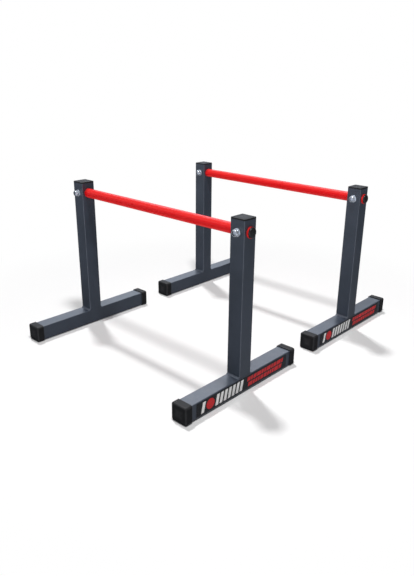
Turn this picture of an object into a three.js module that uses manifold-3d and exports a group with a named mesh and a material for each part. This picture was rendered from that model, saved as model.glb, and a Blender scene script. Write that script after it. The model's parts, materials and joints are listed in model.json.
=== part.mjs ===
// A pair of low, free-standing parallel bars for bodyweight training.
//
// Each stand has two upright square tubes, each welded on the middle of a square foot tube, and
// one round grip bar that passes through both uprights and is held there by two cross bolts.
// Plastic caps close every open tube end. The two stands are alike and are set side by side.
//
// Millimetres, +Z up. The feet run along X, the grip bars along Y, and Z = 0 is the floor.
// The origin is on the floor, midway between the stands. The labelled front is at -Y.

import * as THREE from "three";
import { mergeVertices } from "three/addons/utils/BufferGeometryUtils.js";
import Module from "manifold-3d";

const wasm = await Module();
wasm.setup();

// ---- Driving dimensions ----

const STAND_SPACING = 612;     // between the centre lines of the two grip bars
const LEG_SPACING = 730;       // between the centre lines of the front and rear uprights
const OVERALL_HEIGHT = 532.5;  // floor to the top of the top caps
const BAR_HEIGHT = 493;        // floor to the centre line of the grip bar
const FOOT_LENGTH = 500;       // over both foot caps

const TUBE_SIDE = 50;          // square tube, outside
const TUBE_WALL = 2;
const TUBE_CORNER = 2.5;       // outside corner radius

const BAR_DIAMETER = 32;
const BAR_WALL = 2;
const BAR_STANDOFF = 5;        // how far the bar shows past the outer face of an upright

const FIT_GAP = 0.3;           // between pieces that touch or nest

// Foot caps: sleeves pushed over the tube ends, on which the stand rests
const FOOT_CAP_SIDE = 57;
const FOOT_CAP_LENGTH = 25;
const FOOT_CAP_END_WALL = 3.5;
const FOOT_CAP_CORNER = 7;
const FOOT_CAP_ROUNDING = 3;

// Top caps: a plate on the tube end, with a hollow stem inside the tube
const TOP_CAP_PLATE = 4.5;
const TOP_CAP_EDGE = 1;
const TOP_CAP_STEM_DEPTH = 12;
const TOP_CAP_STEM_WALL = 2;

// Bar plugs: a rounded button on a barbed hollow stem
const PLUG_RADIUS = 15.5;
const PLUG_HEAD = 5.6;
const PLUG_ROUNDING = 4;
const PLUG_STEM_LENGTH = 15;
const PLUG_STEM_RADIUS = 12.6;
const PLUG_STEM_WALL = 2.4;
const PLUG_BARB_RADIUS = 13.6;
const PLUG_BARB_LENGTH = 4;
const PLUG_BARB_DEPTHS = [11, 5];  // from the head down to the wide end of each barb

// Weld bead around the foot of each upright
const WELD_LEG = 5;

// M12 bolt set, across each upright and through the bar
const BOLT_DIAMETER = 12;
const BOLT_LENGTH = 65;
const BOLT_END_CHAMFER = 1;
const BOLT_HOLE_DIAMETER = 13;
const HEX_ACROSS_FLATS = 19;
const HEX_EDGE = 1.2;          // chamfer that rounds the corners of a hexagon
const BOLT_HEAD_HEIGHT = 7.5;
const WASHER_DIAMETER = 24;
const WASHER_THICKNESS = 2.5;
const NUT_HEX_HEIGHT = 8.6;
const NUT_HEIGHT = 12;
const NUT_COLLAR_RADIUS = 9;
const NUT_COLLAR_ROUNDING = 1.4;
const NUT_LIP_RADIUS = 7;
const NUT_LIP_HEIGHT = 0.6;
const RING_OUTER_RADIUS = 7.9;
const RING_INNER_RADIUS = 6.3;
const RING_HEIGHT = 2.4;

// Printed label on the outer face of the front foot
const LABEL_LENGTH = 412;
const LABEL_HEIGHT = 42;
const LABEL_THICKNESS = 0.3;

// How finely round shapes are cut. A shape's arc gets two sides for each of its steps.
const CORNER_STEPS = 2;
const BAR_SIDES = 36;
const ROUND_SIDES = 18;
const HOLE_SIDES = 16;
const EDGE_STEPS = 2;

// ---- Sizes that follow from them ----

const FOOT_AXIS_HEIGHT = FOOT_CAP_SIDE / 2;
const FOOT_TOP = FOOT_AXIS_HEIGHT + TUBE_SIDE / 2;
const FOOT_TUBE_LENGTH = FOOT_LENGTH - 2 * (FOOT_CAP_END_WALL + FIT_GAP);
const UPRIGHT_BOTTOM = FOOT_TOP + FIT_GAP;
const UPRIGHT_TOP = OVERALL_HEIGHT - TOP_CAP_PLATE - FIT_GAP;
const BAR_LENGTH = LEG_SPACING + TUBE_SIDE + 2 * BAR_STANDOFF;
const BAR_HOLE_DIAMETER = BAR_DIAMETER + 2 * FIT_GAP;
const HEX_CORNER_RADIUS = HEX_ACROSS_FLATS / Math.sqrt(3);
const CUT_MARGIN = 5;          // how far a cutting tool reaches past the piece it cuts

// ---- Finishes ----

function finish(colour, roughness, metalness) {
  return new THREE.MeshStandardMaterial({ color: colour, roughness, metalness });
}

const GRAPHITE_COAT = finish(0x4a5160, 0.45, 0.2);
const RED_COAT = finish(0xe01c22, 0.25, 0.1);
const BLACK_PLASTIC = finish(0x1b1c1e, 0.5, 0);
const ZINC_PLATE = finish(0xb4bcc8, 0.3, 0.9);
const DARK_NYLON = finish(0x20242c, 0.6, 0);
const LABEL_FILM = finish(0x101012, 0.35, 0);

// ---- Joining and cutting ----

function toSolid(geometry) {
  const bare = geometry.clone();
  bare.deleteAttribute("normal");
  bare.deleteAttribute("uv");
  const merged = mergeVertices(bare, 1e-4);
  return new wasm.Manifold(new wasm.Mesh({
    numProp: 3,
    vertProperties: new Float32Array(merged.attributes.position.array),
    triVerts: new Uint32Array(merged.index.array),
  }));
}

function toGeometry(solid) {
  const mesh = solid.getMesh();
  const geometry = new THREE.BufferGeometry();
  geometry.setAttribute("position", new THREE.BufferAttribute(mesh.vertProperties, 3));
  geometry.setIndex(new THREE.BufferAttribute(mesh.triVerts, 1));
  return geometry;
}

function cut(geometry, ...tools) {
  return toGeometry(tools.reduce((solid, tool) => solid.subtract(toSolid(tool)), toSolid(geometry)));
}

function join(geometry, ...others) {
  return toGeometry(others.reduce((solid, other) => solid.add(toSolid(other)), toSolid(geometry)));
}

function common(geometry, other) {
  return toGeometry(toSolid(geometry).intersect(toSolid(other)));
}

// ---- Shapes that several pieces share ----

function roundedSquare(side, radius) {
  const reach = side / 2 - radius;
  const shape = new THREE.Shape();
  shape.absarc(reach, reach, radius, 0, Math.PI / 2);
  shape.absarc(-reach, reach, radius, Math.PI / 2, Math.PI);
  shape.absarc(-reach, -reach, radius, Math.PI, 1.5 * Math.PI);
  shape.absarc(reach, -reach, radius, 1.5 * Math.PI, 2 * Math.PI);
  return shape;
}

// A prism standing on Z = 0
function prism(shape, height) {
  return new THREE.ExtrudeGeometry(shape, { depth: height, bevelEnabled: false, curveSegments: CORNER_STEPS });
}

// A block standing on Z = 0 whose upper rim is rounded off; its lower rim stays square.
// The outline is given at its full width.
function softTopped(shape, height, rounding, steps) {
  const block = new THREE.ExtrudeGeometry(shape, {
    depth: height + CUT_MARGIN,
    bevelThickness: rounding,
    bevelSize: rounding,
    bevelOffset: -rounding,
    bevelSegments: steps,
    curveSegments: CORNER_STEPS,
  });
  block.translate(0, 0, -CUT_MARGIN - rounding);
  const waste = new THREE.BoxGeometry(4 * TUBE_SIDE, 4 * TUBE_SIDE, 4 * CUT_MARGIN);
  waste.translate(0, 0, -2 * CUT_MARGIN);
  return cut(block, waste);
}

// A square tube standing on Z = 0, open at both ends
function squareTube(length) {
  const section = roundedSquare(TUBE_SIDE, TUBE_CORNER);
  section.holes.push(roundedSquare(TUBE_SIDE - 2 * TUBE_WALL, TUBE_CORNER - TUBE_WALL));
  return prism(section, length);
}

// A round drill along Z, centred on the origin
function drill(diameter, length, sides) {
  return new THREE.CylinderGeometry(diameter / 2, diameter / 2, length, sides).rotateX(Math.PI / 2);
}

// A turned piece about Z from a closed list of [radius, height] points
function turned(points, sides) {
  const profile = points.map(([radius, height]) => new THREE.Vector2(radius, height));
  return new THREE.LatheGeometry([...profile, profile[0]], sides).rotateX(Math.PI / 2);
}

// The points of a quarter round from (radius, low) up and in to (radius - rounding, low + rounding)
function quarterRound(radius, low, rounding, steps) {
  return Array.from({ length: steps + 1 }, (_, step) => {
    const angle = (step / steps) * (Math.PI / 2);
    return [radius - rounding * (1 - Math.cos(angle)), low + rounding * Math.sin(angle)];
  });
}

// A hexagonal prism on Z = 0 with its upper corners chamfered
function hexagon(height) {
  const prismSides = 6;
  const hex = new THREE.CylinderGeometry(HEX_CORNER_RADIUS, HEX_CORNER_RADIUS, height, prismSides);
  hex.rotateX(Math.PI / 2).translate(0, 0, height / 2);
  const corner = HEX_CORNER_RADIUS + HEX_EDGE;
  const envelope = turned([
    [0, -CUT_MARGIN],
    [corner, -CUT_MARGIN],
    [corner, height - 2 * HEX_EDGE],
    [HEX_ACROSS_FLATS / 2 - HEX_EDGE / 2, height],
    [0, height],
  ], ROUND_SIDES);
  return common(hex, envelope);
}

// ---- Pieces of a leg frame ----

function footTube() {
  return squareTube(FOOT_TUBE_LENGTH).translate(0, 0, -FOOT_TUBE_LENGTH / 2).rotateY(Math.PI / 2);
}

function upright() {
  const barHole = drill(BAR_HOLE_DIAMETER, 2 * TUBE_SIDE, BAR_SIDES).rotateX(Math.PI / 2);
  const boltHole = drill(BOLT_HOLE_DIAMETER, 2 * TUBE_SIDE, HOLE_SIDES).rotateY(Math.PI / 2);
  barHole.translate(0, 0, BAR_HEIGHT - UPRIGHT_BOTTOM);
  boltHole.translate(0, 0, BAR_HEIGHT - UPRIGHT_BOTTOM);
  return cut(squareTube(UPRIGHT_TOP - UPRIGHT_BOTTOM), barHole, boltHole);
}

// The weld between upright and foot, as one ring. Across the foot it is a rounded fillet. The
// upright is as wide as the foot, so along the other two sides it only fills the groove that the
// foot's rounded edges leave under the upright's walls, flush with the faces of both tubes.
// The foot's top is at Z = 0.
function weldBead() {
  const snug = TUBE_SIDE + 2 * FIT_GAP;
  const outline = roundedSquare(snug + 2 * WELD_LEG, TUBE_CORNER + WELD_LEG + FIT_GAP);
  const fillet = softTopped(outline, TUBE_CORNER + FIT_GAP + WELD_LEG, WELD_LEG, EDGE_STEPS);
  fillet.translate(0, 0, -TUBE_CORNER);
  const flush = new THREE.BoxGeometry(2 * TUBE_SIDE, TUBE_SIDE, 2 * TUBE_SIDE);
  const post = prism(roundedSquare(snug, TUBE_CORNER + FIT_GAP), TUBE_SIDE);
  const foot = prism(roundedSquare(snug, TUBE_CORNER + FIT_GAP), 2 * TUBE_SIDE);
  foot.translate(0, 0, -TUBE_SIDE).rotateY(Math.PI / 2).translate(0, 0, -TUBE_SIDE / 2);
  return cut(common(fillet, flush), post, foot);
}

// A foot cap with its closed end at the top, its mouth at Z = 0
function footCap() {
  const shell = softTopped(
    roundedSquare(FOOT_CAP_SIDE, FOOT_CAP_CORNER), FOOT_CAP_LENGTH, FOOT_CAP_ROUNDING, EDGE_STEPS);
  const pocketDepth = FOOT_CAP_LENGTH - FOOT_CAP_END_WALL;
  const pocket = prism(
    roundedSquare(TUBE_SIDE + 2 * FIT_GAP, TUBE_CORNER + FIT_GAP), pocketDepth + CUT_MARGIN);
  pocket.translate(0, 0, -CUT_MARGIN);
  return cut(shell, pocket);
}

// A top cap with the underside of its plate at Z = 0
function topCap() {
  const plate = softTopped(roundedSquare(TUBE_SIDE, TUBE_CORNER), TOP_CAP_PLATE, TOP_CAP_EDGE, 1);
  const stemSide = TUBE_SIDE - 2 * TUBE_WALL - 2 * FIT_GAP;
  const stemCorner = TUBE_CORNER - TUBE_WALL;
  const section = roundedSquare(stemSide, stemCorner);
  section.holes.push(roundedSquare(stemSide - 2 * TOP_CAP_STEM_WALL, stemCorner / 2));
  const stem = prism(section, TOP_CAP_STEM_DEPTH + TOP_CAP_PLATE / 2);
  stem.translate(0, 0, -TOP_CAP_STEM_DEPTH);
  return join(plate, stem);
}

// ---- The grip bar and its plugs ----

// A round tube along Y, centred, with a cross hole for each bolt
function gripBar() {
  const section = new THREE.Shape();
  section.absarc(0, 0, BAR_DIAMETER / 2, 0, 2 * Math.PI);
  const bore = new THREE.Path();
  bore.absarc(0, 0, BAR_DIAMETER / 2 - BAR_WALL, 0, 2 * Math.PI);
  section.holes.push(bore);
  const tube = new THREE.ExtrudeGeometry(section, {
    depth: BAR_LENGTH,
    bevelEnabled: false,
    curveSegments: BAR_SIDES / 2,
  });
  tube.translate(0, 0, -BAR_LENGTH / 2).rotateX(Math.PI / 2);
  const holes = [-1, 1].map((end) => {
    const hole = drill(BOLT_HOLE_DIAMETER, 2 * BAR_DIAMETER, HOLE_SIDES).rotateY(Math.PI / 2);
    return hole.translate(0, end * (LEG_SPACING / 2), 0);
  });
  return cut(tube, ...holes);
}

// A bar plug about Z, with the underside of its head at Z = 0 and its stem below
function barPlug() {
  const stemBore = PLUG_STEM_RADIUS - PLUG_STEM_WALL;
  const barbs = PLUG_BARB_DEPTHS.flatMap((depth) => [
    [PLUG_STEM_RADIUS, -depth - PLUG_BARB_LENGTH],
    [PLUG_BARB_RADIUS, -depth],
    [PLUG_STEM_RADIUS, -depth],
  ]);
  return turned([
    [stemBore, -PLUG_STEM_LENGTH],
    ...barbs,
    [PLUG_STEM_RADIUS, 0],
    [PLUG_RADIUS, 0],
    ...quarterRound(PLUG_RADIUS, PLUG_HEAD - PLUG_ROUNDING, PLUG_ROUNDING, EDGE_STEPS),
    [0, PLUG_HEAD],
    [0, 0],
    [stemBore, 0],
  ], ROUND_SIDES);
}

// ---- The bolt set, each piece about Z ----

// A hexagon bolt with its head above Z = 0 and its shank below
function bolt() {
  const radius = BOLT_DIAMETER / 2;
  const shank = turned([
    [0, -BOLT_LENGTH],
    [radius - BOLT_END_CHAMFER, -BOLT_LENGTH],
    [radius, -BOLT_LENGTH + BOLT_END_CHAMFER],
    [radius, BOLT_HEAD_HEIGHT / 2],
    [0, BOLT_HEAD_HEIGHT / 2],
  ], ROUND_SIDES);
  return join(hexagon(BOLT_HEAD_HEIGHT), shank);
}

function washer() {
  return turned([
    [BOLT_HOLE_DIAMETER / 2, 0],
    [WASHER_DIAMETER / 2, 0],
    [WASHER_DIAMETER / 2, WASHER_THICKNESS],
    [BOLT_HOLE_DIAMETER / 2, WASHER_THICKNESS],
  ], ROUND_SIDES);
}

// A lock nut on Z = 0: a hexagon under a round collar, whose lip holds a nylon ring
function lockNut() {
  const bore = BOLT_DIAMETER / 2 + FIT_GAP;
  const seat = RING_OUTER_RADIUS + FIT_GAP;
  const body = join(hexagon(NUT_HEX_HEIGHT), turned([
    [0, NUT_HEX_HEIGHT / 2],
    [NUT_COLLAR_RADIUS, NUT_HEX_HEIGHT / 2],
    ...quarterRound(NUT_COLLAR_RADIUS, NUT_HEIGHT - NUT_COLLAR_ROUNDING, NUT_COLLAR_ROUNDING, EDGE_STEPS),
    [0, NUT_HEIGHT],
  ], ROUND_SIDES));
  const hollow = turned([
    [0, -CUT_MARGIN],
    [bore, -CUT_MARGIN],
    [bore, ringBase() - FIT_GAP],
    [seat, ringBase() - FIT_GAP],
    [seat, NUT_HEIGHT - NUT_LIP_HEIGHT],
    [NUT_LIP_RADIUS, NUT_HEIGHT - NUT_LIP_HEIGHT],
    [NUT_LIP_RADIUS, NUT_HEIGHT + CUT_MARGIN],
    [0, NUT_HEIGHT + CUT_MARGIN],
  ], ROUND_SIDES);
  return cut(body, hollow);
}

function ringBase() {
  return NUT_HEIGHT - NUT_LIP_HEIGHT - FIT_GAP - RING_HEIGHT;
}

function nylonRing() {
  return turned([
    [RING_INNER_RADIUS, 0],
    [RING_OUTER_RADIUS, 0],
    [RING_OUTER_RADIUS, RING_HEIGHT],
    [RING_INNER_RADIUS, RING_HEIGHT],
  ], ROUND_SIDES);
}

// ---- Assembly ----

function piece(name, geometry, material) {
  const mesh = new THREE.Mesh(geometry, material);
  mesh.name = name;
  return mesh;
}

function footWithCaps(prefix) {
  const foot = new THREE.Group();
  foot.add(piece(`${prefix}_foot_tube`, footTube(), GRAPHITE_COAT));
  for (const [end, direction] of [["left", -1], ["right", 1]]) {
    const cap = piece(`${prefix}_foot_cap_${end}`, footCap(), BLACK_PLASTIC);
    cap.rotation.y = direction * (Math.PI / 2);
    cap.position.x = direction * (FOOT_LENGTH / 2 - FOOT_CAP_LENGTH);
    foot.add(cap);
  }
  foot.position.z = FOOT_AXIS_HEIGHT;
  return foot;
}

// A bolt across the upright: head on the +X side, lock nut on the -X side, a washer under each
function boltSet(prefix) {
  const set = new THREE.Group();
  const seat = TUBE_SIDE / 2 + FIT_GAP;
  const overWasher = seat + WASHER_THICKNESS + FIT_GAP;
  const headSide = new THREE.Group();
  const nutSide = new THREE.Group();
  headSide.rotation.y = Math.PI / 2;
  nutSide.rotation.y = -Math.PI / 2;

  const headWasher = piece(`${prefix}_head_washer`, washer(), ZINC_PLATE);
  const screw = piece(`${prefix}_bolt`, bolt(), ZINC_PLATE);
  headWasher.position.z = seat;
  screw.position.z = overWasher;
  headSide.add(headWasher, screw);

  const nutWasher = piece(`${prefix}_nut_washer`, washer(), ZINC_PLATE);
  const nut = piece(`${prefix}_lock_nut`, lockNut(), ZINC_PLATE);
  const ring = piece(`${prefix}_nylon_ring`, nylonRing(), DARK_NYLON);
  nutWasher.position.z = seat;
  nut.position.z = overWasher;
  ring.position.z = overWasher + ringBase();
  nutSide.add(nutWasher, nut, ring);

  set.add(headSide, nutSide);
  set.position.z = BAR_HEIGHT;
  return set;
}

function legFrame(prefix, end) {
  const leg = new THREE.Group();
  const post = piece(`${prefix}_upright`, upright(), GRAPHITE_COAT);
  const bead = piece(`${prefix}_weld_bead`, weldBead(), GRAPHITE_COAT);
  const cap = piece(`${prefix}_top_cap`, topCap(), BLACK_PLASTIC);
  const plug = piece(`${prefix}_bar_plug`, barPlug(), BLACK_PLASTIC);
  post.position.z = UPRIGHT_BOTTOM;
  bead.position.z = FOOT_TOP;
  cap.position.z = UPRIGHT_TOP + FIT_GAP;
  plug.rotation.x = -end * (Math.PI / 2);
  plug.position.set(0, end * (TUBE_SIDE / 2 + BAR_STANDOFF + FIT_GAP), BAR_HEIGHT);
  leg.add(footWithCaps(prefix), post, bead, cap, plug, boltSet(prefix));
  leg.position.y = end * (LEG_SPACING / 2);
  return leg;
}

function label(prefix) {
  const film = piece(
    `${prefix}_front_label`,
    new THREE.BoxGeometry(LABEL_LENGTH, LABEL_THICKNESS, LABEL_HEIGHT),
    LABEL_FILM);
  const outward = (TUBE_SIDE + LABEL_THICKNESS) / 2 + FIT_GAP;
  film.position.set(0, -LEG_SPACING / 2 - outward, FOOT_AXIS_HEIGHT);
  return film;
}

function stand(side) {
  const one = new THREE.Group();
  const bar = piece(`${side}_grip_bar`, gripBar(), RED_COAT);
  bar.position.z = BAR_HEIGHT;
  one.add(bar, legFrame(`${side}_front`, -1), legFrame(`${side}_rear`, 1), label(side));
  return one;
}

const group = new THREE.Group();
for (const [side, direction] of [["left", -1], ["right", 1]]) {
  const one = stand(side);
  one.position.x = direction * (STAND_SPACING / 2);
  group.add(one);
}

export default group;
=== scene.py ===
# %% [markdown]
# # A pair of low parallel bars
#
# Two stands side by side. On each, a red round grip bar runs through two square steel uprights and is bolted
# there, and each upright is welded on the middle of a square steel foot. Black moulded caps close the tubes
# and carry the stand on the floor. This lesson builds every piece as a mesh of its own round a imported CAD
# model, gives it a finish, and sets up a plain studio. Lengths are in millimetres until a piece is put in
# place.

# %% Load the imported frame
import json
import math
import random

import bmesh
import bpy
from mathutils import Matrix, Vector
from mathutils.geometry import delaunay_2d_cdt


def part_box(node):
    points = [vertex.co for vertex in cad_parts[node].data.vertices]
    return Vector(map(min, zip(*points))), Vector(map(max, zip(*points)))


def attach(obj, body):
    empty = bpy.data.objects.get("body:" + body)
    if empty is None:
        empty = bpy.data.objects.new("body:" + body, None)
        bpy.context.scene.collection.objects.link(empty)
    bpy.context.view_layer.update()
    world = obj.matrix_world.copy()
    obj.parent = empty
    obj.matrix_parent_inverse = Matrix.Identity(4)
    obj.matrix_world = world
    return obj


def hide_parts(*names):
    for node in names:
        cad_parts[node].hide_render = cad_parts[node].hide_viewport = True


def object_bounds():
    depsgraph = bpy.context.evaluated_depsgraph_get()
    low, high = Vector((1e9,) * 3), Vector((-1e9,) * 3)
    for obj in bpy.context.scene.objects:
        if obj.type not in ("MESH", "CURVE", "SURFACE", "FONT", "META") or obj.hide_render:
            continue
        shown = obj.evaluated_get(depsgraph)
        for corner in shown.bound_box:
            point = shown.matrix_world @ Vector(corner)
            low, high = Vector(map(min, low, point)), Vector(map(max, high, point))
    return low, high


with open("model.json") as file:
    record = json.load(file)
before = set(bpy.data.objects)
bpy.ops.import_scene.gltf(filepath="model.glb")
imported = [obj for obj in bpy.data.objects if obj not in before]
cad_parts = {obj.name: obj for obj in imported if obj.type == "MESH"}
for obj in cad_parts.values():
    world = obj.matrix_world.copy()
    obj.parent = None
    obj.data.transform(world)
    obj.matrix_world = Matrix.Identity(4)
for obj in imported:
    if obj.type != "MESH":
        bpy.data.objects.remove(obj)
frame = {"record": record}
CAD_LOW, CAD_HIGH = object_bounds()
print("CAD box, metres:", [round(v, 4) for v in (*CAD_LOW, *CAD_HIGH)])

# %% [markdown]
# ## Sizes
#
# A box round each CAD node says where a piece is and how large it is, so those sizes are read and not typed.
# What a box can't say is typed here: wall thicknesses, corner radii, holes and the depth of small features.

# %% Read the stock sizes from the frame
MM = 0.001


def size_mm(piece, place="left_front"):
    """The width, depth and height of a CAD node's box, in millimetres."""
    low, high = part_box(f"{place}_{piece}")
    return (high - low) / MM


TUBE = size_mm("upright").x
UPRIGHT_LENGTH = size_mm("upright").z
FOOT_LENGTH = size_mm("foot_tube").x
BAR_LENGTH = size_mm("grip_bar", "left").y
BAR_RADIUS = size_mm("grip_bar", "left").z / 2
LEG_SPACING = (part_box("left_rear_bolt")[0].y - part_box("left_front_bolt")[0].y) / MM
print(f"tube {TUBE:.1f}, upright {UPRIGHT_LENGTH:.1f}, foot {FOOT_LENGTH:.1f}")
print(f"bar {BAR_RADIUS * 2:.1f} x {BAR_LENGTH:.1f}, bolts {LEG_SPACING:.0f} apart")

# %% Sizes that the boxes can't give
TUBE_WALL = 2.0
TUBE_CORNER = 2.5
REACH = TUBE / 2 - TUBE_CORNER  # from the tube's middle to the centres of its corners
BAR_WALL = 2.0
FIT_GAP = 0.3
BREAK = 0.3  # how far a moulded edge is broken
BOLT_RADIUS = 6.0
BOLT_HOLE_RADIUS = 6.5
HEX_FLATS = 19.0
print(f"wall {TUBE_WALL}, corner {TUBE_CORNER}, bolt M{2 * BOLT_RADIUS:.0f}")

# %% [markdown]
# ## Helpers for meshes
#
# Nearly every piece here is a tube, a cap or a turned part: a stack of rings with the same number of points
# in every ring. So one helper skins a stack of rings, and the pieces only say where the rings lie. A cube
# with a bevel would be quicker, but it gives no control over where the corner rounding starts. The spare
# points beside each corner keep the wear on the corners and off the flats.

# %% Skin a stack of rings
def skin(rings, closed=False):
    """A mesh over rings of points. A closed stack joins its last ring to its first. An open one has ends."""
    made = bmesh.new()
    rows = [[made.verts.new(point) for point in ring] for ring in rings]
    following = rows[1:] + rows[:1] if closed else rows[1:]
    for low, high in zip(rows, following):
        for i in range(len(low)):
            j = (i + 1) % len(low)
            made.faces.new((low[i], low[j], high[j], high[i]))
    if not closed:
        made.faces.new(rows[0])
        made.faces.new(rows[-1])
    return to_mesh(made)


def to_mesh(made):
    """Turns a bmesh into a mesh with every face looking outward."""
    bmesh.ops.recalc_face_normals(made, faces=made.faces)
    mesh = bpy.data.meshes.new("part")
    made.to_mesh(mesh)
    made.free()
    return mesh


# %% Rings of two kinds
CORNER_STEPS = 8
SPARE = 1.2  # how far past a rounded corner the spare point on the flat lies
TURNED_SIDES = 72


def square_ring(side, radius, height):
    """A rounded square about Z, with a spare point on each flat just past its corners."""
    reach = side / 2 - radius
    spare = min(SPARE, (side - 2 * radius) / 3)
    ring = []
    for quarter in range(4):
        start = quarter * math.pi / 2
        centre = Matrix.Rotation(start, 2) @ Vector((reach, reach))
        arc = [start + step / CORNER_STEPS * math.pi / 2 for step in range(CORNER_STEPS + 1)]
        points = [centre + radius * Vector((math.cos(a), math.sin(a))) for a in arc]
        points.insert(0, points[0] - spare * Vector((-math.sin(arc[0]), math.cos(arc[0]))))
        points.append(points[-1] + spare * Vector((-math.sin(arc[-1]), math.cos(arc[-1]))))
        ring += [(p.x, p.y, height) for p in points]
    return ring


def round_ring(station, sides):
    """A ring about Z. A station is (radius, height), or a function that gives both for an angle."""
    turns = [i / sides * math.tau for i in range(sides)]
    spots = [station(a) if callable(station) else station for a in turns]
    return [(r * math.cos(a), r * math.sin(a), z) for a, (r, z) in zip(turns, spots)]


def turned(stations, closed=False):
    """A turned part over a profile of stations."""
    return skin([round_ring(station, TURNED_SIDES) for station in stations], closed)


def quarter_round(radius, low, rounding, steps=6):
    """Stations from (radius, low) up and in over a quarter round."""
    turns = [step / steps * math.pi / 2 for step in range(steps + 1)]
    return [(radius - rounding * (1 - math.cos(a)), low + rounding * math.sin(a)) for a in turns]


# %% [markdown]
# Holes are cut with the Boolean modifier, and the rims left by a drill are broken with the Bevel modifier, as
# a fitter deburrs them. Both are baked at once, because a finished piece shouldn't depend on hidden tools.

# %% Cut and bevel on the bench
DRILL_SIDES = 64
TUBE_DEBURR = 0.4
BAR_DEBURR = 0.3
NUT_DEBURR = 0.22


def worked(mesh, *steps):
    """The mesh after modifiers, given as (kind, settings), baked into plain faces."""
    bench = bpy.data.objects.new("bench", mesh)
    bpy.context.scene.collection.objects.link(bench)
    for kind, settings in steps:
        tool = bench.modifiers.new(kind, kind)
        for name, value in settings.items():
            setattr(tool, name, value)
    result = bpy.data.meshes.new_from_object(bench.evaluated_get(bpy.context.evaluated_depsgraph_get()))
    bpy.data.objects.remove(bench)
    return result


def drilled(mesh, drills):
    """The mesh with round holes. Each drill is (radius, axis, height): it passes through the Z axis there."""
    for radius, axis, height in drills:
        rings = [round_ring((radius, z), DRILL_SIDES) for z in (-2 * TUBE, 2 * TUBE)]
        bit = bpy.data.objects.new("drill", skin(rings))
        turn = Vector((0, 0, 1)).rotation_difference(Vector(axis)).to_matrix().to_4x4()
        bit.matrix_world = Matrix.Translation((0, 0, height)) @ turn
        bpy.context.scene.collection.objects.link(bit)
        mesh = worked(mesh, ("BOOLEAN", {"object": bit, "operation": "DIFFERENCE", "solver": "EXACT"}))
        bpy.data.objects.remove(bit)
    return mesh


def deburred(mesh, width, sharper_than=30):
    """The mesh with every edge sharper than an angle rounded off."""
    settings = {"width": width, "segments": 2, "limit_method": "ANGLE",
                "angle_limit": math.radians(sharper_than), "use_clamp_overlap": True}
    return worked(mesh, ("BEVEL", settings))


# %% [markdown]
# ## Where wear goes
#
# Paint and plastic get rubbed where a hand, a crate or the floor meets them, and that is on the corners. The
# Bevel shader node could find corners while rendering, but it misses corners that are already round. So each
# mesh carries its own number, "edge", which is 1 on a corner and 0 on a flat, and the finishes read that.
# On the square tubes it is 1 only on each corner's crest, where the rubbed colour also paints a highlight.

# %% Mark the corners of a mesh
EDGE_ANGLE = math.radians(4)


def mark_edges(mesh, counts=None):
    """Stores "edge" on each point: 1 where the surface turns there and counts(point) allows it."""
    made = bmesh.new()
    made.from_mesh(mesh)
    made.normal_update()
    values = []
    for point in made.verts:
        turn = max((point.normal.angle(face.normal, 0) for face in point.link_faces), default=0)
        values.append(float(turn > EDGE_ANGLE and (counts is None or counts(point.co))))
    made.free()
    mesh.attributes.new("edge", "FLOAT", "POINT").data.foreach_set("value", values)
    return mesh


# %% [markdown]
# ## The square tubes
#
# Both feet and uprights are cut from one stock: 50 mm square precision tube with a 2 mm wall. Its corners are
# tight, and they catch the light as a thin bright line down each corner, so each one gets eight steps. The
# stack runs up the outside and down the inside, which makes a real wall and open ends.

# %% Make the foot tube and the upright
def square_tube(length):
    """A square tube standing on Z = 0."""
    outside = [square_ring(TUBE, TUBE_CORNER, z) for z in (0, length)]
    inside = [square_ring(TUBE - 2 * TUBE_WALL, TUBE_CORNER - TUBE_WALL, z) for z in (length, 0)]
    return skin(outside + inside, closed=True)


# half the width of the band on each corner's crest that gets the rubbed colour, which also paints a highlight
# line
CORNER_HIGHLIGHT_LINE = 1.6


def on_corner_rub_and_highlight(point):
    """True on the crest of a square tube's rounded corners, where the rubbed colour also paints a highlight.
    """
    return min(abs(point.x), abs(point.y)) > REACH and abs(abs(point.x) - abs(point.y)) < CORNER_HIGHLIGHT_LINE


BOLT_LOW, BOLT_HIGH = (corner.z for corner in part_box("left_front_bolt"))
BOLT_HEIGHT = ((BOLT_LOW + BOLT_HIGH) / 2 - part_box("left_front_upright")[0].z) / MM
foot_tube = mark_edges(deburred(square_tube(FOOT_LENGTH), TUBE_DEBURR), on_corner_rub_and_highlight)
upright = square_tube(UPRIGHT_LENGTH)
upright = drilled(upright, [
    (BAR_RADIUS + FIT_GAP, (0, 1, 0), BOLT_HEIGHT),
    (BOLT_HOLE_RADIUS, (1, 0, 0), BOLT_HEIGHT),
])
upright = mark_edges(deburred(upright, TUBE_DEBURR), on_corner_rub_and_highlight)
print(f"foot tube: {len(foot_tube.polygons)} faces, upright: {len(upright.polygons)} faces")

# %% [markdown]
# ## The weld
#
# The upright is as wide as the foot. Across the foot the weld is a fillet in the corner between the two.
# Along the foot there is no corner to fill, only the groove over the foot's rounded edge, so the bead lies
# nearly flush there. A hand-laid bead is a row of overlapping puddles, each shaped like a crescent. A bump in
# the finish wouldn't change its outline, so the crescents are modelled: the bead is swept round the upright
# in short steps and swells and sinks as it goes.

# %% Sweep the weld bead
BEAD_STEPS = 320
BEAD_ACROSS = 7
WELD_LEG = 4.7
FLUSH_LEG = 0.4
FLUSH_RISE = 1.2
RISE_CUT = 0.7  # taken off the leg before it adds to the rise
TOE_DEPTH = 0.05
ROOT_INSET = 0.6
ROOT_DEPTH = 0.3
RIPPLE_LENGTH = 2.6
RIPPLE_DEPTH = 0.22
RIPPLE_BOW = 0.9
BEAD_CROWN = 0.45
FLUSH_CROWN = 0.25
LIFT_SLOPE = 0.75
FLAT = TUBE - 2 * TUBE_CORNER
QUARTER = FLAT + TUBE_CORNER * math.pi / 2  # a quarter of the upright's outline


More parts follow.
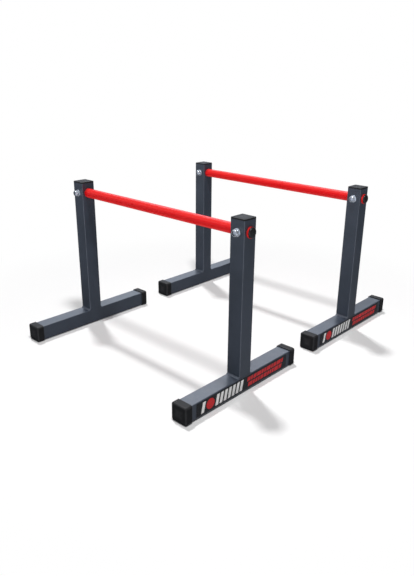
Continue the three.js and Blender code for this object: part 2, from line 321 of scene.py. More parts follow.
def round_the_upright(share):
    """The point and the outward direction at a share of the way round the upright's outline."""
    quarter, rest = divmod(share * 4 * QUARTER, QUARTER)
    if rest < FLAT:
        place, outward = Vector((TUBE / 2, rest - REACH)), Vector((1, 0))
    else:
        angle = (rest - FLAT) / TUBE_CORNER
        outward = Vector((math.cos(angle), math.sin(angle)))
        place = Vector((REACH, REACH)) + TUBE_CORNER * outward
    turn = Matrix.Rotation(quarter * math.pi / 2, 2)
    return turn @ place, turn @ outward


def foot_surface(y):
    """The height of the foot's top at a distance across the foot, when its flat is at 0."""
    over = max(0.0, min(abs(y), TUBE / 2) - REACH)
    return math.sqrt(max(0.0, TUBE_CORNER ** 2 - over ** 2)) - TUBE_CORNER


def bead_section(share):
    """One slice of the bead: over its crown from upright to foot, then its root, which lies hidden."""
    place, outward = round_the_upright(share)
    fullness = outward.x ** 2
    leg = FLUSH_LEG + (WELD_LEG - FLUSH_LEG) * fullness
    toe = place + outward * leg
    toe.y = max(-TUBE / 2, min(TUBE / 2, toe.y))
    top = Vector((*place, FLUSH_RISE + (leg - RISE_CUT) * fullness))
    foot = Vector((*toe, foot_surface(toe.y) - TOE_DEPTH))
    root = Vector((*(place - outward * ROOT_INSET), -ROOT_DEPTH))
    along = share * 4 * QUARTER / RIPPLE_LENGTH
    lift = Vector((outward.x, outward.y * fullness, LIFT_SLOPE)).normalized()
    points = []
    for step in range(BEAD_ACROSS):
        v = step / (BEAD_ACROSS - 1)
        crown = math.sin(v * math.pi)
        phase = (along + RIPPLE_BOW * (v - 0.5) ** 2) % 1.0
        swell = BEAD_CROWN * (FLUSH_CROWN + (1 - FLUSH_CROWN) * fullness)
        swell += RIPPLE_DEPTH * math.sin(phase * math.pi)
        point = top.lerp(foot, v) + lift * swell * crown
        point.y = max(-TUBE / 2, min(TUBE / 2, point.y))
        points.append(point)
    return points + [root + Vector((0, 0, foot_surface(root.y)))]


weld_bead = mark_edges(skin([bead_section(i / BEAD_STEPS) for i in range(BEAD_STEPS)], closed=True))
print(f"weld bead: {len(weld_bead.polygons)} faces")

# %% [markdown]
# ## The moulded caps
#
# A foot cap is a sleeve of black polyethylene pushed over the end of the foot. The stand rests on the flat
# undersides of its sleeves and not on the steel. The closed end is well rounded, the mouth is broken, and a
# small round mark in the middle of the end shows where the plastic entered the mould. The top cap is the
# other kind: a plate as wide as the tube, on a skirt with thin fins that grip the inside of the wall.

# %% Make the foot cap
CAP_SIDE = size_mm("foot_cap_left").y
CAP_LENGTH = size_mm("foot_cap_left").x
CAP_CORNER = 7.0
CAP_ROUNDING = 4.5
CAP_END_WALL = 3.5
MOUTH_ROUNDING = 0.9
RIM_HEIGHT = 2.2
POCKET_MOUTH = ((0, 1.5), (-0.15, 0.4), (-0.6, 0))  # (inset, height) stations where it flares
LEAST_CORNER = 0.4
GATE_RADIUS = 2.4
GATE_DEPTH = 0.35
GATE_CENTRE = 0.5
GATE_ROUNDNESS = 0.96


def inset_rings(side, corner, stations):
    """Rounded squares at (inset, height) stations, all drawn in from one outline."""
    return [square_ring(side - 2 * inset, max(corner - inset, LEAST_CORNER), z) for inset, z in stations]


def rounding_stations(low, rounding, steps=6):
    """(inset, height) stations over a rounded rim."""
    return [(rounding - r, z) for r, z in quarter_round(rounding, low, rounding, steps)]


def gate_rings(height):
    """The sunk round mark that a mould's gate leaves."""
    low = height - GATE_DEPTH
    mark = [(GATE_RADIUS + BREAK, height), (GATE_RADIUS, low), (GATE_CENTRE, low)]
    return [square_ring(2 * r, r * GATE_ROUNDNESS, z) for r, z in mark]


def foot_cap_mesh():
    """A sleeve with its mouth at Z = 0 and its closed end at the top."""
    pocket_side, pocket_corner = TUBE + 2 * FIT_GAP, TUBE_CORNER + FIT_GAP
    floor = CAP_LENGTH - CAP_END_WALL
    pocket = inset_rings(pocket_side, pocket_corner, [(0, floor), *POCKET_MOUTH])
    rim = [(inset, MOUTH_ROUNDING - z) for inset, z in reversed(rounding_stations(0, MOUTH_ROUNDING, 3))]
    rim += [(0, RIM_HEIGHT)]
    end = [(0, CAP_LENGTH - CAP_ROUNDING - SPARE)]
    end += rounding_stations(CAP_LENGTH - CAP_ROUNDING, CAP_ROUNDING, 8)
    end += [(CAP_ROUNDING + SPARE, CAP_LENGTH)]
    return skin(pocket + inset_rings(CAP_SIDE, CAP_CORNER, rim + end) + gate_rings(CAP_LENGTH))


foot_cap = mark_edges(foot_cap_mesh())
print(f"foot cap: {CAP_SIDE:.1f} x {CAP_LENGTH:.1f}, {len(foot_cap.polygons)} faces")

# %% Make the top cap
PLATE = 4.5
PLATE_ROUNDING = 1.3
SKIRT_DEPTH = size_mm("top_cap").z - PLATE
SKIRT_WALL = 2.0
SKIRT_TAPER = (0.8, 1.5)  # how far in, over what height
FIN_DEPTHS = (9.5, 6.5, 3.5)
FIN_REACH = 0.28
FIN_RAMP = 0.9
FIN_STEP = 0.1
PLATE_SPARE = 0.6


def top_cap_mesh():
    """A plate with its underside at Z = 0, on a hollow skirt with fins."""
    side = TUBE - 2 * TUBE_WALL - 2 * FIT_GAP
    corner = TUBE_CORNER - TUBE_WALL
    hollow = [(SKIRT_WALL, 0), (SKIRT_WALL, -SKIRT_DEPTH)]
    skirt = [(SKIRT_TAPER[0], -SKIRT_DEPTH), (0, -SKIRT_DEPTH + SKIRT_TAPER[1])]
    for depth in FIN_DEPTHS:
        skirt += [(0, -depth - FIN_RAMP), (-FIN_REACH, -depth), (0, -depth + FIN_STEP)]
    plate = [(BREAK, 0), (0, BREAK), (0, PLATE - PLATE_ROUNDING - PLATE_SPARE)]
    plate += rounding_stations(PLATE - PLATE_ROUNDING, PLATE_ROUNDING, 4) + [(PLATE_ROUNDING + SPARE, PLATE)]
    rings = inset_rings(side, corner, hollow + skirt + [(0, 0)])
    return skin(rings + inset_rings(TUBE, TUBE_CORNER, plate) + gate_rings(PLATE))


top_cap = mark_edges(top_cap_mesh())
print(f"top cap: plate {TUBE:.1f} x {PLATE:.1f}, {len(top_cap.polygons)} faces")

# %% [markdown]
# ## The grip bar and its plugs
#
# The bar is round tube, drilled across at both ends for the bolts. It stands 5 mm out of the front and rear
# faces of the uprights. Its open ends are closed by moulded plugs: a low button on a barbed hollow stem.

# %% Make the grip bar
BAR_SIDES = 96
BAR_END = 1.0  # how much of each end counts as rubbed
bar_stations = [(BAR_RADIUS, 0), (BAR_RADIUS, BAR_LENGTH)]
bar_stations += [(BAR_RADIUS - BAR_WALL, BAR_LENGTH), (BAR_RADIUS - BAR_WALL, 0)]
grip_bar = skin([round_ring((r, z - BAR_LENGTH / 2), BAR_SIDES) for r, z in bar_stations], closed=True)
grip_bar = drilled(grip_bar, [(BOLT_HOLE_RADIUS, (1, 0, 0), end * LEG_SPACING / 2) for end in (-1, 1)])
grip_bar = mark_edges(deburred(grip_bar, BAR_DEBURR), lambda point: abs(point.z) > BAR_LENGTH / 2 - BAR_END)
print(f"grip bar: {len(grip_bar.polygons)} faces")

# %% Turn the bar plug
PLUG_RADIUS = size_mm("bar_plug").x / 2
PLUG_HEAD = 5.6
PLUG_ROUNDING = 4.0
PLUG_STEM = size_mm("bar_plug").y - PLUG_HEAD
STEM_RADIUS = 12.6
STEM_BORE = 10.2
STEM_TAPER = 0.8
BARB_DEPTHS = (11, 5)
BARB_REACH = 1.0
BARB_RAMP = 3
BARB_LAND = 0.2
BARB_STEP = 0.1
CROWN_RISE = 0.4
CROWN = ((0.5, 0.16), (0.25, 0.03))  # (share of the radius, drop from the top)
CROWN_FLAT = 1.6


def bar_plug_mesh():
    """A button with its underside at Z = 0, on a hollow barbed stem."""
    stem = [(STEM_BORE, 0), (STEM_BORE, -PLUG_STEM), (STEM_RADIUS - STEM_TAPER, -PLUG_STEM)]
    stem += [(STEM_RADIUS, -PLUG_STEM + STEM_TAPER)]
    for depth in BARB_DEPTHS:
        stem += [(STEM_RADIUS, -depth - BARB_RAMP), (STEM_RADIUS + BARB_REACH, -depth - BARB_LAND)]
        stem += [(STEM_RADIUS + BARB_REACH, -depth), (STEM_RADIUS, -depth + BARB_STEP)]
    head = [(STEM_RADIUS, 0), (PLUG_RADIUS - BREAK, 0), (PLUG_RADIUS, BREAK)]
    head += quarter_round(PLUG_RADIUS, PLUG_HEAD - PLUG_ROUNDING - CROWN_RISE, PLUG_ROUNDING, 10)
    head += [(PLUG_RADIUS * share, PLUG_HEAD - drop) for share, drop in CROWN]
    head += [(CROWN_FLAT, PLUG_HEAD)]
    return turned(stem + head)


bar_plug = mark_edges(bar_plug_mesh())
print(f"bar plug: head {2 * PLUG_RADIUS:.1f} x {PLUG_HEAD:.1f}, {len(bar_plug.polygons)} faces")

# %% [markdown]
# ## The bolt set
#
# An M12 bolt runs across the upright and the bar, head on one side and lock nut on the other, with a washer
# under each. A hexagon's corners are turned off by a cone, which leaves the curved arris that every bolt head
# has. Here a ring's radius may depend on the angle, so flats, cone and arris come out of one stack of rings.
# The thread is a stack too, and its radius follows height and angle together.

# %% Stations for a hexagon
def hex_radius(angle, flats=HEX_FLATS):
    """The distance from a hexagon's centre to its side at an angle."""
    return flats / 2 / math.cos((angle + math.pi / 6) % (math.pi / 3) - math.pi / 6)


CONE_SLOPE = math.tan(math.radians(30))
CONE_SHARE = 0.95
CONE_START = HEX_FLATS / 2 * CONE_SHARE


def hex_rim(height, upward=1):
    """The arris where the cone meets the hexagon's sides, near a flat face at a height."""
    return lambda angle: (hex_radius(angle), height - upward * (hex_radius(angle) - CONE_START) * CONE_SLOPE)


# %% Make the bolt
HEAD_HEIGHT = 7.5
BOLT_LENGTH = size_mm("bolt").x - HEAD_HEIGHT
PITCH = 1.75
THREAD_LENGTH = 30.0
THREAD_DEPTH = 0.9
THREAD_STEPS = 7
GROOVE_FLOOR = 1.25  # above 1, so that the groove has a flat floor
GROOVE_SLOPE = 3.2
FACE_RADIUS = 9.0
FACE_HEIGHT = 0.4
HEX_BASE = 0.5
NECK = 0.5
TIP = ((1.0, 0.1), (1.2, 0))  # (inset, height above the end)


def thread_station(height, fade):
    """A station on a screw thread, shallower where fade is below 1."""
    def at(angle):
        phase = (height / PITCH - angle / math.tau) % 1.0
        groove = min(1.0, max(0.0, GROOVE_FLOOR - abs(phase - 0.5) * GROOVE_SLOPE))
        return BOLT_RADIUS - THREAD_DEPTH * groove * fade, height
    return at


def bolt_mesh():
    """A hexagon bolt with its head above Z = 0 and its shank below."""
    head = [(CONE_START * 0.5, HEAD_HEIGHT), (CONE_START, HEAD_HEIGHT), hex_rim(HEAD_HEIGHT)]
    head += [lambda angle: (hex_radius(angle), HEX_BASE)]
    head += [(FACE_RADIUS, FACE_HEIGHT), (FACE_RADIUS, 0), (BOLT_RADIUS + NECK, 0)]
    shank = [(BOLT_RADIUS, -NECK), (BOLT_RADIUS, -BOLT_LENGTH + THREAD_LENGTH)]
    stations = head + shank
    count = int(THREAD_LENGTH / PITCH * THREAD_STEPS)
    for i in range(1, count):
        height = -BOLT_LENGTH + THREAD_LENGTH * (1 - i / count)
        fade = min(1.0, i / THREAD_STEPS, (count - i) / THREAD_STEPS)
        stations.append(thread_station(height, fade))
    tip = [(BOLT_RADIUS - inset, -BOLT_LENGTH + rise) for inset, rise in TIP]
    return turned(stations + tip)


bolt = mark_edges(bolt_mesh(), lambda point: point.z > 0)
print(f"bolt: M{2 * BOLT_RADIUS:.0f} x {BOLT_LENGTH:.0f}, {len(bolt.polygons)} faces")

# %% Make the washer, the lock nut and its nylon ring
WASHER_RADIUS = size_mm("nut_washer").y / 2
WASHER = size_mm("nut_washer").x
WASHER_ROUNDING = 0.6
WASHER_RIM = 0.15
HOLE_ENTRY = 0.4
HOLE_RIM = 0.1
NUT_HEX = 8.6
NUT_HEIGHT = size_mm("lock_nut").x
COLLAR = 9.0
COLLAR_ROUNDING = 1.6
COLLAR_FILLET = ((0.4, 0.05), (0, 0.5))  # (outset, height above the hexagon)
BORE_ENTRY = 0.9
LIP_RADIUS = 7.0
LIP = 0.6
LIP_RIM = 0.15
RING_HEIGHT = size_mm("nylon_ring").x
RING_OUTER = size_mm("nylon_ring").y / 2
RING_INNER = 6.3
RING_ENTRY = 0.5
RING_BASE = NUT_HEIGHT - LIP - FIT_GAP - RING_HEIGHT


def washer_mesh():
    """A punched washer: rounded above, where the punch entered, and sharp below."""
    hole = BOLT_HOLE_RADIUS
    inner = [(hole, HOLE_RIM), (hole, WASHER - HOLE_ENTRY), (hole + HOLE_ENTRY, WASHER)]
    outer = quarter_round(WASHER_RADIUS, WASHER - WASHER_ROUNDING, WASHER_ROUNDING, 4)[::-1]
    outer += [(WASHER_RADIUS, WASHER_RIM), (WASHER_RADIUS - WASHER_RIM, 0), (hole + HOLE_RIM, 0)]
    return turned(inner + outer, closed=True)


def lock_nut_mesh():
    """A hexagon on Z = 0 under a round collar that is rolled in over a nylon ring."""
    bore, seat = BOLT_RADIUS + FIT_GAP, RING_OUTER + FIT_GAP
    low = RING_BASE - FIT_GAP
    body = [(bore + BORE_ENTRY, 0), (CONE_START, 0), hex_rim(0, upward=-1), hex_rim(NUT_HEX)]
    body += [(COLLAR + outset, NUT_HEX + rise) for outset, rise in COLLAR_FILLET]
    body += quarter_round(COLLAR, NUT_HEIGHT - COLLAR_ROUNDING, COLLAR_ROUNDING, 6)
    body += [(LIP_RADIUS + LIP_RIM, NUT_HEIGHT), (LIP_RADIUS, NUT_HEIGHT - LIP_RIM)]
    body += [(LIP_RADIUS, NUT_HEIGHT - LIP), (seat, NUT_HEIGHT - LIP)]
    body += [(seat, low), (bore, low), (bore, BORE_ENTRY)]
    return turned(body, closed=True)


def nylon_ring_mesh():
    """A plain ring with soft rims on Z = 0."""
    low, high, top = RING_INNER, RING_OUTER, RING_HEIGHT
    outline = [(low + BREAK, 0), (high - BREAK, 0), (high, BREAK), (high, top - BREAK)]
    outline += [(high - BREAK, top), (low + RING_ENTRY, top), (low, top - RING_ENTRY), (low, BREAK)]
    return turned(outline, closed=True)


washer = mark_edges(washer_mesh())
lock_nut = mark_edges(deburred(lock_nut_mesh(), NUT_DEBURR, sharper_than=35))
nylon_ring = mark_edges(nylon_ring_mesh())
print("faces:", [len(mesh.polygons) for mesh in (washer, lock_nut, nylon_ring)])

# %% [markdown]
# ## The printed label
#
# Each front foot carries one strip of printed film on its outer face. The print is plain shapes of this
# lesson's own: slanted blocks, a disc and two rows of dashes, in white and red on black, with no lettering.
# It could be painted by nodes, but then its edges would be as soft as the baked picture. So the strip's front
# is cut along every printed outline by a flat triangulation: the print stays sharp, and each colour is a
# material slot.

# %% Lay out the print
LABEL_LENGTH, LABEL_THICKNESS, LABEL_HEIGHT = size_mm("label")
SLANT = 0.22
FILM, WHITE, RED = 0, 1, 2


def slanted(x, y, width, height):
    """A leaning block with its lower left corner at x, y."""
    lean, top = height * SLANT, y + height
    return [Vector(p) for p in ((x, y), (x + width, y), (x + width + lean, top), (x + lean, top))]


def disc(x, y, radius, sides=48):
    """A round spot."""
    turns = [i / sides * math.tau for i in range(sides)]
    return [Vector((x + radius * math.cos(a), y + radius * math.sin(a))) for a in turns]


STRIPE_HEIGHT = 34.0
STRIPE_WIDTH = 11.5
STRIPE_STEP = 17.5
LONE_STRIPE = -188
FIRST_STRIPE = -130
STRIPE_COUNT = 7
DISC_PLACE = -150.0
DISC_RADIUS = 16.5
DASH_HEIGHT = 13.5
DASH_ROWS = ((2.0, 10.0, 190.0), (-15.5, 14.0, 176.0))  # (height, start, stop)
DASH_WIDTHS = (9, 14, 20)
DASH_GAP = 3
DASH_OVERRUN = 6
DASH_SEED = 7


def label_art():
    """(colour, outline) for each printed shape. The label's centre is at 0, 0."""
    art = [(RED, disc(DISC_PLACE, 0, DISC_RADIUS))]
    for x in (LONE_STRIPE, *(FIRST_STRIPE + i * STRIPE_STEP for i in range(STRIPE_COUNT))):
        art.append((WHITE, slanted(x, -STRIPE_HEIGHT / 2, STRIPE_WIDTH, STRIPE_HEIGHT)))
    draw = random.Random(DASH_SEED)
    for y, start, stop in DASH_ROWS:
        x = start
        while x < stop:
            width = draw.choice(DASH_WIDTHS)
            art.append((RED, slanted(x, y, min(width, stop + DASH_OVERRUN - x), DASH_HEIGHT)))
            x += width + DASH_GAP
    return art


# %% Cut the label's front along the print
LABEL_CORNER = 2.5
LABEL_STEPS = 8
SAME_POINT = 0.001  # points nearer than this become one


def label_outline():
    """The strip's outline, with rounded corners."""
    reach_x, reach_y = LABEL_LENGTH / 2 - LABEL_CORNER, LABEL_HEIGHT / 2 - LABEL_CORNER
    outline = []
    for turn in range(4 * LABEL_STEPS):
        quarter, step = divmod(turn, LABEL_STEPS)
        angle = (quarter + step / (LABEL_STEPS - 1)) / 4 * math.tau
        diagonal = (quarter + 0.5) / 4 * math.tau
        x = math.copysign(reach_x, math.cos(diagonal)) + LABEL_CORNER * math.cos(angle)
        y = math.copysign(reach_y, math.sin(diagonal)) + LABEL_CORNER * math.sin(angle)
        outline.append(Vector((x, y)))
    return outline


def label_mesh():
    """A thin strip, facing up, with its back at Z = 0 and its front divided by colour."""
    shapes = [(FILM, label_outline())] + label_art()
    points = [point for _, shape in shapes for point in shape]
    loops, count = [], 0
    for _, shape in shapes:
        loops.append(list(range(count, count + len(shape))))
        count += len(shape)
    found = delaunay_2d_cdt(points, [], loops, 1, SAME_POINT, True)
    made = bmesh.new()
    spots = [made.verts.new((*point, LABEL_THICKNESS)) for point in found[0]]
    for corners, sources in zip(found[2], found[5]):
        face = made.faces.new([spots[i] for i in corners])
        face.material_index = shapes[max(sources)][0]
    sides = bmesh.ops.extrude_face_region(made, geom=list(made.faces), use_keep_orig=True)
    for item in sides["geom"]:
        if isinstance(item, bmesh.types.BMVert):
            item.co.z = 0
    for face in made.faces:
        if min(point.co.z for point in face.verts) < LABEL_THICKNESS / 2:
            face.material_index = FILM
    return to_mesh(made)


label = mark_edges(label_mesh(), lambda point: False)
print(f"label: {LABEL_LENGTH:.0f} x {LABEL_HEIGHT:.0f} x {LABEL_THICKNESS:.1f}, {len(label.polygons)} faces")

# %% [markdown]
# ## Helpers for finishes
#
# A finish is a graph of nodes. Written out in full, a graph hides its idea under plumbing, so a few short
# helpers add a node, join sockets and do sums. Every pattern is laid out by the object's own coordinates. All
# pieces share one origin, so no two of them get the same patch of pattern.

# %% Small helpers for node graphs
def add(tree, kind, inputs=None, **settings):
    """Adds a node. An input is set to a number or colour, or joined to a socket."""
    made = tree.nodes.new(kind)
    for name, value in settings.items():
        setattr(made, name, value)
    for name, value in (inputs or {}).items():
        if isinstance(value, bpy.types.NodeSocket):
            tree.links.new(value, made.inputs[name])
        else:
            made.inputs[name].default_value = value
    return made


def find(tree, kind):
    """The first node of a kind that a new tree already has."""
    return next(node for node in tree.nodes if node.type == kind)


def sum_of(tree, operation, first, second=0.0):
    """The output of a Math node."""
    return add(tree, "ShaderNodeMath", {0: first, 1: second}, operation=operation).outputs[0]


def times(tree, first, second):
    """Two values multiplied."""
    return sum_of(tree, "MULTIPLY", first, second)


def spread(tree, value, low, high, to_low=0.0, to_high=1.0):
    """A value mapped smoothly from one range to another, and held at the ends."""
    ranges = {"Value": value, "From Min": low, "From Max": high, "To Min": to_low, "To Max": to_high}
    return add(tree, "ShaderNodeMapRange", ranges, interpolation_type="SMOOTHSTEP").outputs["Result"]


def blend_colours(tree, share, first, second):
    """One colour over another, by a share from 0 to 1."""
    made = add(tree, "ShaderNodeMix", {0: share, 6: first, 7: second}, data_type="RGBA")
    return made.outputs[2]


def per_metre(tree, size):
    """How many features of a size in millimetres fit in a metre."""
    return sum_of(tree, "DIVIDE", 1 / MM, size)


def cloud(tree, place, scale, detail=2.0, rough=0.5):
    """A noise pattern about 0.5, with scale in features per metre."""
    inputs = {"Vector": place, "Scale": scale, "Detail": detail, "Roughness": rough}
    return add(tree, "ShaderNodeTexNoise", inputs).outputs[0]


def object_place(tree):
    """The socket that gives a point's place in the object's own coordinates."""
    return add(tree, "ShaderNodeTexCoord").outputs["Object"]


# %% Start a node group
def new_group(name, inputs, outputs):
    """A shader group with named float inputs, given with their usual values, and named outputs."""
    group = bpy.data.node_groups.new(name, "ShaderNodeTree")
    for label_text, value in inputs.items():
        socket = group.interface.new_socket(name=label_text, in_out="INPUT", socket_type="NodeSocketFloat")
        socket.default_value = value
    for label_text in outputs:
        group.interface.new_socket(name=label_text, in_out="OUTPUT", socket_type="NodeSocketFloat")
    return group, add(group, "NodeGroupInput").outputs, add(group, "NodeGroupOutput").inputs


def use_group(tree, group, **inputs):
    """Places a group in a material with its own values, and returns its outputs."""
    values = {socket.replace("_", " "): value for socket, value in inputs.items()}
    return add(tree, "ShaderNodeGroup", values, node_tree=group).outputs


# %% [markdown]
# ## Effects that several finishes share
#
# **Coat skin** is the faint orange peel of baked powder paint, with slow changes in film thickness.
# ** Edge rub and highlight** is where corners have been touched: it takes the "edge" number and breaks it up
# with noise. On the square tubes it also paints a thin highlight line down each corner.
# **Handling marks** are hair scratches, long and thin, that only change the gloss.
# **Moulded grain** is the fine spark-eroded texture of a plastics mould.
# **Settled dust** lies thinly on whatever faces up.

# %% Build the coat skin
NOISE_SPAN = (0.3, 0.7)  # nearly all of a noise pattern lies between these

sizes = {"Peel Size": 1.8, "Cloud Size": 90.0}
coat_skin, given, gives = new_group("coat_skin", sizes, ["Height", "Cloud", "Fleck"])
tree = coat_skin
where = object_place(tree)
peel = cloud(tree, where, per_metre(tree, given["Peel Size"]), 1.0)
tree.links.new(peel, gives["Height"])
slow = cloud(tree, where, per_metre(tree, given["Cloud Size"]), 3.0, 0.6)
tree.links.new(spread(tree, slow, *NOISE_SPAN), gives["Cloud"])
speckle = cloud(tree, where, 2400.0, 0.0)
tree.links.new(spread(tree, speckle, 0.66, 0.76), gives["Fleck"])
print("coat_skin:", len(tree.nodes), "nodes")

# %% Build the edge rub
# The mask is worn corners, and on the tube corners it is also a painted highlight line.
edge_rub_and_highlight, given, gives = new_group("edge_rub_and_highlight", {"Amount": 0.5, "Patch Size": 14.0}, ["Mask"])
tree = edge_rub_and_highlight
where = object_place(tree)
corner = add(tree, "ShaderNodeAttribute", attribute_name="edge", attribute_type="GEOMETRY").outputs["Fac"]
patches = cloud(tree, where, per_metre(tree, given["Patch Size"]), 4.0, 0.65)
worn = spread(tree, patches, *NOISE_SPAN, 0.45, 1.0)
rubbed = times(tree, spread(tree, corner, 0.2, 1.0), worn)
tree.links.new(times(tree, rubbed, given["Amount"]), gives["Mask"])
print("edge_rub_and_highlight:", len(tree.nodes), "nodes")

# %% Build the handling marks
HAIR_SCALE = 38.0
HAIR_WIDTH = 0.006
HAIR_SETS = (((0.3, 0.5, 0.2), 22.0), ((1.1, 0.2, 0.9), 16.0))  # (how it is turned, how far it is stretched)

handling_marks, given, gives = new_group("handling_marks", {"Amount": 0.5}, ["Mask"])
tree = handling_marks
where = object_place(tree)
total = None
for turn, stretch in HAIR_SETS:
    laid = add(tree, "ShaderNodeMapping", {"Vector": where, "Rotation": turn, "Scale": (stretch, 1.0, 1.0)})
    hair = cloud(tree, laid.outputs[0], HAIR_SCALE, 2.0)
    from_middle = sum_of(tree, "ABSOLUTE", sum_of(tree, "SUBTRACT", hair, 0.5))
    line = spread(tree, from_middle, HAIR_WIDTH, 0.0)
    rare = spread(tree, cloud(tree, where, 26.0 + stretch, 1.0), 0.52, 0.66)
    scratch = times(tree, line, rare)
    total = scratch if total is None else sum_of(tree, "MAXIMUM", total, scratch)
tree.links.new(times(tree, total, given["Amount"]), gives["Mask"])
print("handling_marks:", len(tree.nodes), "nodes")

# %% Build the moulded grain
moulded_grain, given, gives = new_group("moulded_grain", {"Grain Size": 0.7}, ["Height", "Cloud"])
tree = moulded_grain
where = object_place(tree)
grid = {"Vector": where, "Scale": per_metre(tree, given["Grain Size"])}
cells = add(tree, "ShaderNodeTexVoronoi", grid, feature="SMOOTH_F1")
tree.links.new(cells.outputs["Distance"], gives["Height"])
slow = cloud(tree, where, 60.0, 3.0)
tree.links.new(spread(tree, slow, *NOISE_SPAN), gives["Cloud"])
print("moulded_grain:", len(tree.nodes), "nodes")

# %% Build the settled dust
settled_dust, given, gives = new_group("settled_dust", {"Amount": 0.3}, ["Mask"])
tree = settled_dust
where = object_place(tree)
normal = add(tree, "ShaderNodeNewGeometry").outputs["Normal"]
upward = add(tree, "ShaderNodeSeparateXYZ", {0: normal}).outputs["Z"]
level = spread(tree, upward, 0.6, 0.98)
drift = spread(tree, cloud(tree, where, 30.0, 5.0, 0.7), 0.35, 0.75)
grains = spread(tree, cloud(tree, where, 900.0, 1.0), 0.45, 0.7, 0.35, 1.0)
dusty = times(tree, times(tree, level, drift), grains)
tree.links.new(times(tree, dusty, given["Amount"]), gives["Mask"])
print("settled_dust:", len(tree.nodes), "nodes")

# %% [markdown]
# ## The finishes
#
# Each finish is one Principled shader. Whatever is the same all over, such as how metallic it is, is set on
# the shader itself. What changes over the surface comes in from the groups.

# %% Start and close a material
def new_finish(name, **fixed):
    """A material with its Principled shader, and the constants set on it."""
    material = bpy.data.materials.new(name)
    material.use_nodes = True
    tree = material.node_tree
    shader = find(tree, "BSDF_PRINCIPLED")
    for socket, value in fixed.items():
        shader.inputs[socket.replace("_", " ")].default_value = value
    print("finish:", name)
    return material, tree, shader.inputs


def layered(tree, colour, *covers):
    """A colour with others laid over it, as (mask, colour) pairs."""
    for mask, over in covers:
        colour = blend_colours(tree, mask, colour, over)
    return colour


def connect_surface(tree, surface, colour, gloss, height, depth):
    """Feeds a colour, a roughness and a height, whose full swing is depth in millimetres, to the shader."""
    bump = add(tree, "ShaderNodeBump", {"Height": height, "Distance": depth * MM, "Strength": 1.0})
    tree.links.new(colour, surface["Base Color"])
    tree.links.new(gloss, surface["Roughness"])
    tree.links.new(bump.outputs["Normal"], surface["Normal"])


def varied(tree, middle, *changes):
    """A roughness: a middle value plus (mask, amount) changes."""
    total = middle
    for mask, amount in changes:
        total = sum_of(tree, "ADD", times(tree, mask, amount), total)
    return total


# %% Graphite powder coat
GRAPHITE_DARK = (0.023, 0.034, 0.052, 1)
GRAPHITE_LIGHT = (0.031, 0.044, 0.068, 1)
GRAPHITE_RUB_AND_HIGHLIGHT = (0.115, 0.130, 0.165, 1)
GRAPHITE_FLECK = (0.09, 0.10, 0.125, 1)
DUST = (0.42, 0.41, 0.39, 1)

graphite, tree, surface = new_finish("graphite_coat", Metallic=0.0, IOR=1.7)
skin_out = use_group(tree, coat_skin, Peel_Size=1.9, Cloud_Size=110.0)
rub_and_highlight = use_group(tree, edge_rub_and_highlight, Amount=0.6, Patch_Size=30.0)["Mask"]
marks = use_group(tree, handling_marks, Amount=0.6)["Mask"]
dust = use_group(tree, settled_dust, Amount=0.12)["Mask"]
fleck = times(tree, skin_out["Fleck"], 0.35)
# On the tube corners the rubbed colour is worn paint and also a painted highlight line down each crest.
covers = ((skin_out["Cloud"], GRAPHITE_LIGHT), (fleck, GRAPHITE_FLECK), (rub_and_highlight, GRAPHITE_RUB_AND_HIGHLIGHT), (dust, DUST))
colour = layered(tree, GRAPHITE_DARK, *covers)
gloss = varied(tree, 0.36, (skin_out["Cloud"], 0.07), (rub_and_highlight, -0.14), (marks, 0.2), (dust, 0.3))
connect_surface(tree, surface, colour, gloss, skin_out["Height"], 0.06)

# %% Red powder coat
RED_DEEP = (0.90, 0.0030, 0.005, 1)
RED_BRIGHT = (0.95, 0.005, 0.008, 1)
RED_RUBBED = (0.90, 0.10, 0.09, 1)

red, tree, surface = new_finish("red_coat", Metallic=0.0, IOR=1.29)
skin_out = use_group(tree, coat_skin, Peel_Size=2.0, Cloud_Size=60.0)
rub_and_highlight = use_group(tree, edge_rub_and_highlight, Amount=0.4, Patch_Size=6.0)["Mask"]
marks = use_group(tree, handling_marks, Amount=0.16)["Mask"]
dust = use_group(tree, settled_dust, Amount=0.03)["Mask"]
colour = layered(tree, RED_DEEP, (skin_out["Cloud"], RED_BRIGHT), (rub_and_highlight, RED_RUBBED), (dust, DUST))
gloss = varied(tree, 0.27, (skin_out["Cloud"], 0.03), (marks, 0.16), (dust, 0.3))
connect_surface(tree, surface, colour, gloss, skin_out["Height"], 0.03)

# %% Black moulded plastic
BLACK_DEEP = (0.0070, 0.0072, 0.0078, 1)
BLACK_GREY = (0.0120, 0.0122, 0.0130, 1)
BLACK_RUBBED = (0.045, 0.045, 0.047, 1)

black, tree, surface = new_finish("black_plastic", Metallic=0.0, IOR=1.34)
grain = use_group(tree, moulded_grain, Grain_Size=0.8)
rub_and_highlight = use_group(tree, edge_rub_and_highlight, Amount=0.6, Patch_Size=9.0)["Mask"]
marks = use_group(tree, handling_marks, Amount=0.8)["Mask"]
dust = use_group(tree, settled_dust, Amount=0.05)["Mask"]
colour = layered(tree, BLACK_DEEP, (grain["Cloud"], BLACK_GREY), (rub_and_highlight, BLACK_RUBBED), (dust, DUST))
gloss = varied(tree, 0.56, (grain["Cloud"], 0.08), (rub_and_highlight, -0.12), (marks, 0.12), (dust, 0.3))
connect_surface(tree, surface, colour, gloss, grain["Height"], 0.05)

# %% Smooth black plastic for the plugs
plug_black, tree, surface = new_finish("plug_plastic", Metallic=0.0, IOR=1.5)
grain = use_group(tree, moulded_grain, Grain_Size=1.6)
rub_and_highlight = use_group(tree, edge_rub_and_highlight, Amount=0.3, Patch_Size=7.0)["Mask"]
marks = use_group(tree, handling_marks, Amount=0.7)["Mask"]
colour = layered(tree, BLACK_DEEP, (grain["Cloud"], BLACK_GREY), (rub_and_highlight, BLACK_RUBBED))
gloss = varied(tree, 0.26, (grain["Cloud"], 0.06), (marks, 0.2))
connect_surface(tree, surface, colour, gloss, grain["Height"], 0.02)

# %% Dark nylon
NYLON_DEEP = (0.010, 0.014, 0.024, 1)
NYLON_PALE = (0.020, 0.028, 0.045, 1)

